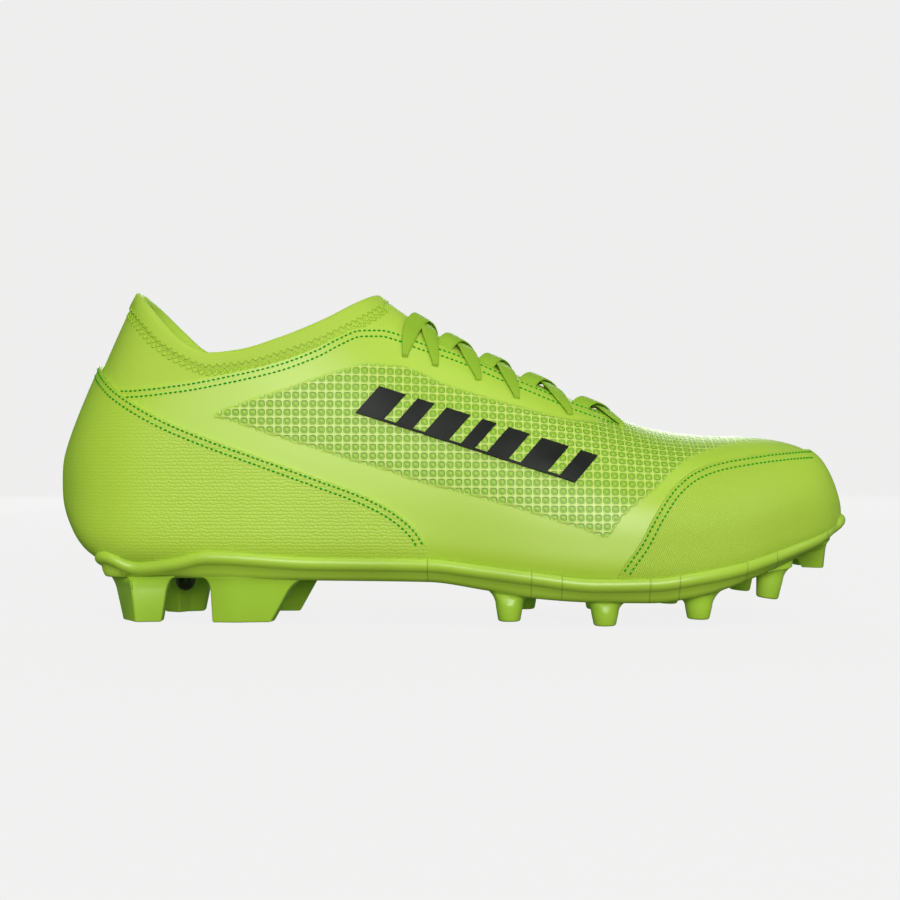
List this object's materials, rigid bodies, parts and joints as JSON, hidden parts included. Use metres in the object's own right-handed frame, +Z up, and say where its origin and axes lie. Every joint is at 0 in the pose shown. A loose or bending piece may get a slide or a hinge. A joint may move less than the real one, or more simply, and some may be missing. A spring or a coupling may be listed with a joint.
{
  "type": "soccer cleat",
  "caption": "Right football boot with a knitted collar, embossed synthetic upper, criss-cross lace, moulded plate, heel blades and conical forefoot studs.",
  "frame": {"origin": "on the ground under the middle of the boot's bounding box", "axes": "+X towards the toe, +Z up, -Y the lateral (outer) side of the foot"},
  "size_m": [0.2917, 0.0948, 0.1212],
  "materials": {
    "upper": "satin synthetic, partly embossed",
    "overlay": "textured film",
    "mark": "raised print",
    "knit": "fine knit",
    "lining": "fine mesh",
    "foam": "open foam",
    "backing": "plain",
    "stiffener": "plain",
    "board": "pressed fibre board",
    "plate": "glossy moulded",
    "stud": "glossy moulded",
    "plug": "glossy",
    "lace": "flat woven",
    "sockliner": "brushed textile",
    "thread": "dark green thread"
  },
  "bodies": {
    "boot": {"outsole_plate": "plate", "lateral_stud_1": "stud", "lateral_stud_2": "stud", "lateral_stud_3": "stud", "lateral_stud_4": "stud", "medial_stud_1": "stud", "medial_stud_2": "stud", "medial_stud_3": "stud", "medial_stud_4": "stud", "lateral_heel_blade_rear": "stud", "lateral_heel_blade_front": "stud", "medial_heel_blade_rear": "stud", "medial_heel_blade_front": "stud", "lateral_toe_blade": "stud", "medial_toe_blade": "stud", "heel_plug": "plug", "upper_body": "upper", "heel_overlay": "overlay", "toe_cap": "overlay", "side_mark": "mark", "eyestay": "backing", "heel_counter": "stiffener", "toe_puff": "stiffener", "collar_foam": "foam", "upper_backing": "backing", "insole_board": "board", "lining": "lining", "knit_collar": "knit", "collar_hem": "knit", "lace": "lace"},
    "sockliner": {"sockliner_foam": "foam", "sockliner_cover": "sockliner"}
  },
  "joints": [
    {"name": "sockliner_peel", "type": "hinge", "parent": "boot", "child": "sockliner", "pos_m": [0.1365, 0.006, 0.039], "axis": [0, 1, 0], "range_deg": [0, 5]}
  ]
}
